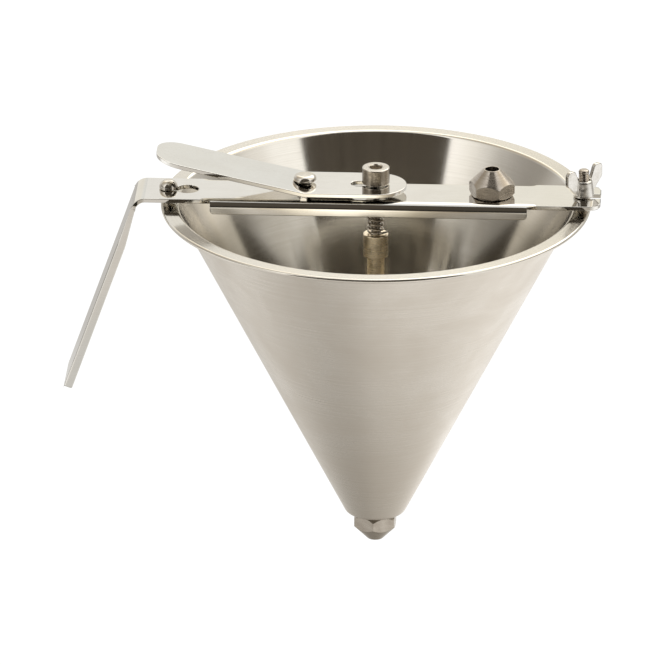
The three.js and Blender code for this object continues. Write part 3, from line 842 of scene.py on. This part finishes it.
# Valve: cap screw, collar, rod and return spring
cap = {
    "radius": 6.4, "height": 8, "under": leverTop + 0.5, "edge": 0.6, "socketFlats": 6, "socketDepth": 4.4,
    "socketChamfer": 0.35, "mouthLap": 0.4, "mouthOver": 0.2, "shank": 2.5, "shankEdge": 0.3, "grip": 5.5, "pitch": 0.8,
    "threadDepth": 0.42, "threadTop": 1.0, "sideLimit": 0.3,
}
capTop = cap["under"] + cap["height"]
shankEnd = collarTop - cap["grip"]
capScrew = turned("capScrew", [
    (0, shankEnd),
    (cap["shank"], shankEnd, cap["shankEdge"]),
    (cap["shank"], cap["under"]),
    (cap["radius"], cap["under"], cap["edge"]),
    (cap["radius"], capTop, cap["edge"]),
    (0, capTop),
], segments=128, thread={
    "low": collarTop, "high": cap["threadTop"], "pitch": cap["pitch"], "depth": cap["threadDepth"],
})
socket = drawnOut("socket", hexagon(cap["socketFlats"]), capTop - cap["socketDepth"], capTop + cutOver)
mouth = hexCorner(cap["socketFlats"])
mouthTop = capTop + cutOver * cap["mouthOver"]
countersink = turned("countersink", [
    (0, capTop - cap["socketChamfer"]),
    (mouth - cap["socketChamfer"] * cap["mouthLap"], capTop - cap["socketChamfer"]),
    (mouth + cap["socketChamfer"], mouthTop),
    (0, mouthTop),
])
combine("DIFFERENCE", capScrew, socket, countersink)
# The cap's upright side gets the darker steel as painted shade; its top stays light
place(capScrew, "valve", "cap_screw", "turned_steel", turnedSteel, paintedShadeCapSideSteel)
sideReach = (cap["radius"] - cap["edge"]) * mm
for face in capScrew.data.polygons:
    isSide = abs(face.normal.z) < cap["sideLimit"] and math.hypot(face.center.x, face.center.y) > sideReach
    face.material_index = int(isSide)

collar = {"radius": 5.9, "edge": 0.4, "bore": 2.8, "boreEdge": 0.2}
springCollar = turned("springCollar", [
    (collar["bore"], collarUnder, collar["boreEdge"]),
    (collar["radius"], collarUnder, collar["edge"]),
    (collar["radius"], collarTop, collar["edge"]),
    (collar["bore"], collarTop, collar["boreEdge"]),
], segments=128)
# Lighter, warmer steel: painted light
place(springCollar, "valve", "spring_collar", "turned_steel", paintedLightValveSteel)

rod = {
    "radius": 4.1, "stub": 2.3, "stubLength": 4.6, "stubEdge": 0.4, "tip": 2.7, "tipHeight": 3, "tipEdge": 0.3,
    "shoulder": 0.6,
}


def valveRod():
    spread = (nozzle["thread"] - nozzle["bore"]) / (nozzle["seatDepth"] - nozzle["threadDepth"])
    lift = seatGap / math.sin(math.atan(spread))
    tip = nozzleBase - nozzle["seatDepth"] + (rod["tip"] - nozzle["bore"]) / spread + lift
    piece = turned("valveRod", [
        (0, tip),
        (rod["tip"], tip, rod["tipEdge"]),
        (rod["radius"], tip + rod["tipHeight"], rod["shoulder"]),
        (rod["radius"], collarUnder),
        (rod["stub"], collarUnder),
        (rod["stub"], collarUnder + rod["stubLength"], rod["stubEdge"]),
        (0, collarUnder + rod["stubLength"]),
    ], segments=128)
    # Lighter, warmer steel: painted light
    place(piece, "valve", "valve_rod", "turned_steel", paintedLightValveSteel)


valveRod()

spring = {
    "radius": 3.6, "wire": 1, "turns": 8, "closedTurns": 0.7, "closedPitch": 1.04,
    "top": barUnder - seatGap, "bottom": collarTop + seatGap,
    "steps": 32, "sides": 12, "openShare": 0.602, "tail": 1.7, "tailTurns": 0.16,
}


def returnSpring():
    wire = spring["wire"]
    flatPitch = wire * spring["closedPitch"]
    openTurns = spring["turns"] - 2 * spring["closedTurns"]
    height = spring["top"] - spring["bottom"] - wire
    openPitch = (height - 2 * spring["closedTurns"] * flatPitch) / openTurns
    count = round(spring["turns"] * spring["steps"])
    path = []
    z = spring["top"] - wire / 2
    for step in range(count + 1):
        turns = step / spring["steps"]
        last = max(0, (turns - spring["turns"] + spring["tailTurns"]) / spring["tailTurns"])
        arm = spring["radius"] + spring["tail"] * last * last  # the wire's end stands out a little
        path.append(Vector((arm * math.cos(turns * math.tau), arm * math.sin(turns * math.tau), z)))
        isClosed = turns < spring["closedTurns"] or turns >= spring["turns"] - spring["closedTurns"]
        z -= (flatPitch if isClosed else openPitch) / spring["steps"]
    rings = []
    for i, point in enumerate(path):
        ahead = (path[min(i + 1, count)] - path[max(i - 1, 0)]).normalized()
        out = Vector((point.x, point.y, 0)).normalized()
        out = (out - ahead * out.dot(ahead)).normalized()
        up = ahead.cross(out)
        turns = [math.tau * side / spring["sides"] for side in range(spring["sides"])]
        rings.append([tuple(point + (out * math.cos(turn) + up * math.sin(turn)) * (wire / 2)) for turn in turns])
    piece = skin("returnSpring", rings, caps=True)
    place(piece, "funnel", "return_spring", "spring_steel", wireSteel)
    settle(piece)
    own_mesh(piece)


returnSpring()
print("valve made")

# Studio: a pale floor, and soft panels of light all round as a world
studio = {
    "floorHeight": -0.30, "floorReach": 4.0, "floorPale": 1.06, "paintedFunnelShadow": (0.385, 0.365, 0.33),
    "openFloor": (1.02, 1.015, 1.0), "openReach": 0.3, "edgeFrom": 0.58, "edgeTo": 0.72,
    "ceiling": (0.95, 0.95, 0.94), "feetTurn": (13, 21), "topsTurn": (25.5, 29), "ceilingTurn": (70, 80),
    "frontLow": (0.03, 0.026, 0.02), "frontHigh": (0.112, 0.095, 0.075), "frontFrom": -44, "frontTo": 50,
    "frontUnder": -30, "frontTop": 74, "soft": 1.2, "climbFrom": 6, "climbTo": 26, "climb": 0.68,
    "foldScale": 0.22, "foldContrast": 0.9,
}
# Brightness of the walls of light by azimuth in degrees, which is 0 towards the camera and 90 to the right
walls = [
    (-180, 0.98, 0.93, 0.80), (-178, 1.0, 0.97, 0.88), (-176.5, 1.02, 1.0, 0.96), (-174, 0.86, 0.86, 0.83),
    (-150, 0.96, 0.96, 0.94), (-122, 0.80, 0.79, 0.77), (-105, 0.57, 0.55, 0.53), (-90, 0.57, 0.55, 0.52),
    (-79, 0.68, 0.66, 0.63), (-69, 0.96, 0.94, 0.91), (-58, 1.24, 1.22, 1.18), (-46, 1.36, 1.34, 1.31),
    (50, 1.32, 1.31, 1.28), (67, 1.27, 1.26, 1.23), (76, 1.08, 1.06, 1.02), (110, 1.02, 1.0, 0.97),
    (150, 0.96, 0.96, 0.94), (173, 0.93, 0.93, 0.90), (180, 0.98, 0.93, 0.80),
]
# The same for the upper walls
wallTops = [
    (-180, 2.35, 2.28, 2.13), (-172, 2.04, 1.97, 1.81), (-162, 1.65, 1.57, 1.38), (-150, 1.10, 1.02, 0.86),
    (-136, 0.71, 0.64, 0.54), (-115, 0.54, 0.48, 0.40), (-90, 0.66, 0.63, 0.56), (-69, 0.96, 0.94, 0.91),
    (-58, 1.24, 1.22, 1.18), (-46, 1.36, 1.34, 1.31), (50, 1.32, 1.31, 1.28), (67, 1.27, 1.26, 1.23),
    (77, 1.35, 1.33, 1.30), (88, 1.38, 1.32, 1.19), (99, 1.13, 1.03, 0.86), (111, 1.49, 1.38, 1.18),
    (123, 2.16, 2.07, 1.85), (136, 2.67, 2.60, 2.44), (160, 2.74, 2.68, 2.54), (172, 2.59, 2.52, 2.36),
    (180, 2.35, 2.28, 2.13),
]
# The same for the lower edge of the walls
wallFeet = [
    (-180, 0.96, 0.91, 0.78), (-140, 0.90, 0.88, 0.85), (-112, 0.40, 0.38, 0.35), (-72, 0.30, 0.28, 0.25),
    (-58, 0.62, 0.60, 0.56), (-46, 1.10, 1.08, 1.04), (50, 1.10, 1.08, 1.04), (64, 0.62, 0.60, 0.56),
    (76, 0.30, 0.28, 0.25), (104, 0.22, 0.20, 0.17), (125, 0.60, 0.58, 0.55), (180, 0.96, 0.91, 0.78),
]
# The same for the far floor, and for the near floor by its place across in metres
floorEdge = [
    (-180, 0.55, 0.53, 0.50), (-115, 0.60, 0.58, 0.55), (-97, 1.25, 1.24, 1.22), (-72, 1.25, 1.24, 1.22),
    (-50, 0.90, 0.88, 0.84), (-12, 0.76, 0.72, 0.67), (7, 0.50, 0.46, 0.40), (25, 0.50, 0.46, 0.40),
    (50, 0.90, 0.88, 0.84), (72, 1.25, 1.24, 1.22), (97, 1.25, 1.24, 1.22), (115, 0.60, 0.58, 0.55),
    (180, 0.55, 0.53, 0.50),
]
floorAcross = [
    (-0.30, 0.80, 0.79, 0.77), (-0.20, 0.72, 0.71, 0.69), (-0.12, 0.70, 0.69, 0.67), (-0.05, 0.84, 0.83, 0.81),
    (0, 1.0, 0.99, 0.97), (0.06, 1.08, 1.07, 1.05), (0.12, 1.08, 1.07, 1.05), (0.30, 1.02, 1.01, 0.99),
]


# 1 between two places and 0 outside them, with soft edges
def between(tree, value, low, high, soft):
    up, down = past(tree, value, low - soft, low + soft), past(tree, value, high - soft, high + soft)
    return maths(tree, "SUBTRACT", up, down)


def degrees(tree, angle):
    return maths(tree, "MULTIPLY", angle, math.degrees(1))


def azimuthOf(tree, x, y):
    return degrees(tree, maths(tree, "ARCTAN2", x, maths(tree, "MULTIPLY", y, -1)))


# A colour from a list of (place, red, green, blue)
def levelsBy(tree, value, levels):
    low, high = levels[0][0], levels[-1][0]
    share = node(tree, "ShaderNodeMapRange", {"Value": value, "From Min": low, "From Max": high})
    ramp = node(tree, "ShaderNodeValToRGB", {"Fac": share.outputs[0]})
    stops = ramp.color_ramp.elements
    while len(stops) > 1:
        stops.remove(stops[-1])
    for i, (position, *level) in enumerate(levels):
        at = (position - low) / (high - low)
        stop = stops[0] if i == 0 else stops.new(at)
        stop.position = at
        stop.color = (*level, 1)
    return ramp.outputs[0]


# Pale to the eye; what the steel reflects of it has a painted shadow under the funnel, and is dimmer to the left and
# towards the camera
def floorMaterial():
    material = bpy.data.materials.new("paleFloor")
    material.use_nodes = True
    tree = material.node_tree
    tree.nodes.clear()
    coords = node(tree, "ShaderNodeTexCoord").outputs["Object"]
    spot = node(tree, "ShaderNodeSeparateXYZ", {0: coords})
    azimuth = azimuthOf(tree, spot.outputs["X"], spot.outputs["Y"])
    reach = vectors(tree, "LENGTH", vectors(tree, "MULTIPLY", coords, (1, 1, 0)))
    across = levelsBy(tree, spot.outputs["X"], floorAcross)
    # Painted shadow of the funnel, seen only in reflections
    under = mixed(tree, past(tree, reach, 0, studio["openReach"]), studio["paintedFunnelShadow"], studio["openFloor"])
    near = mixed(tree, 1.0, across, under, "MULTIPLY")
    farShare = past(tree, reach, studio["edgeFrom"], studio["edgeTo"])
    graded = mixed(tree, farShare, near, levelsBy(tree, azimuth, floorEdge))
    seen = node(tree, "ShaderNodeLightPath").outputs["Is Camera Ray"]
    pale = studio["floorPale"]
    glow = node(tree, "ShaderNodeEmission", {"Color": mixed(tree, seen, graded, (pale, pale, pale)), "Strength": 1})
    output = node(tree, "ShaderNodeOutputMaterial")
    tree.links.new(glow.outputs[0], output.inputs["Surface"])
    return material


reach, level = studio["floorReach"], studio["floorHeight"]
corners = [(-reach, -reach, level), (reach, -reach, level), (reach, reach, level), (-reach, reach, level)]
floorMesh = bpy.data.meshes.new("floor")
floorMesh.from_pydata(corners, [], [(0, 1, 2, 3)])
floorMesh.materials.append(floorMaterial())
floor = bpy.data.objects.new("floor", floorMesh)
bpy.context.scene.collection.objects.link(floor)


def studioWorld():
    world = bpy.data.worlds.new("studio")
    world.use_nodes = True
    tree = world.node_tree
    tree.nodes.clear()
    ray = vectors(tree, "NORMALIZE", node(tree, "ShaderNodeTexCoord").outputs["Generated"])
    way = node(tree, "ShaderNodeSeparateXYZ", {0: ray})
    azimuth = azimuthOf(tree, way.outputs["X"], way.outputs["Y"])
    elevation = degrees(tree, maths(tree, "ARCSINE", way.outputs["Z"]))

    # A dark front with faint upright folds, lighter higher up
    wave = {"W": azimuth, "Scale": studio["foldScale"], "Detail": 3, "Roughness": 0.6}
    folds = noise(tree, wave, noise_dimensions="1D")
    climb = node(tree, "ShaderNodeMapRange", {
        "Value": elevation, "From Min": studio["climbFrom"], "From Max": studio["climbTo"], "To Max": studio["climb"],
    })
    contrast = studio["foldContrast"]
    tone = maths(tree, "MULTIPLY_ADD", folds, contrast, -contrast / 2)
    lift = node(tree, "ShaderNodeMath", {0: climb.outputs[0], 1: tone}, operation="ADD", use_clamp=True)
    curtain = mixed(tree, lift.outputs[0], studio["frontLow"], studio["frontHigh"])

    light = levelsBy(tree, azimuth, wallFeet)
    light = mixed(tree, past(tree, elevation, *studio["feetTurn"]), light, levelsBy(tree, azimuth, walls))
    light = mixed(tree, past(tree, elevation, *studio["topsTurn"]), light, levelsBy(tree, azimuth, wallTops))
    light = mixed(tree, past(tree, elevation, *studio["ceilingTurn"]), light, studio["ceiling"])
    soft = studio["soft"]
    across = between(tree, azimuth, studio["frontFrom"], studio["frontTo"], soft)
    upright = between(tree, elevation, studio["frontUnder"], studio["frontTop"], soft)
    light = mixed(tree, maths(tree, "MULTIPLY", across, upright), light, curtain)
    seen = node(tree, "ShaderNodeLightPath").outputs["Is Camera Ray"]
    background = node(tree, "ShaderNodeBackground", {"Color": mixed(tree, seen, light, (1, 1, 1)), "Strength": 1})
    output = node(tree, "ShaderNodeOutputWorld")
    tree.links.new(background.outputs[0], output.inputs["Surface"])
    bpy.context.scene.world = world


studioWorld()
bpy.context.scene.view_settings.view_transform = "Standard"
print("studio made")

# Camera at the photograph's angle, from far away
view = {
    "aim": (-20.2, 0, -66.5), "turn": math.radians(3), "rise": math.radians(22), "distance": 4.4, "frameWidth": 0.3112,
    "sensor": 36, "clip": 20,
}
camera = bpy.data.objects.new("camera", bpy.data.cameras.new("camera"))
bpy.context.scene.collection.objects.link(camera)
towards = Vector((
    math.sin(view["turn"]) * math.cos(view["rise"]),
    -math.cos(view["turn"]) * math.cos(view["rise"]),
    math.sin(view["rise"]),
))
camera.location = Vector(view["aim"]) * mm + towards * view["distance"]
camera.rotation_euler = (-towards).to_track_quat("-Z", "Y").to_euler()
camera.data.sensor_width = view["sensor"]
camera.data.lens = view["sensor"] * view["distance"] / view["frameWidth"]
camera.data.clip_end = view["clip"]
bpy.context.scene.camera = camera
print("camera set")
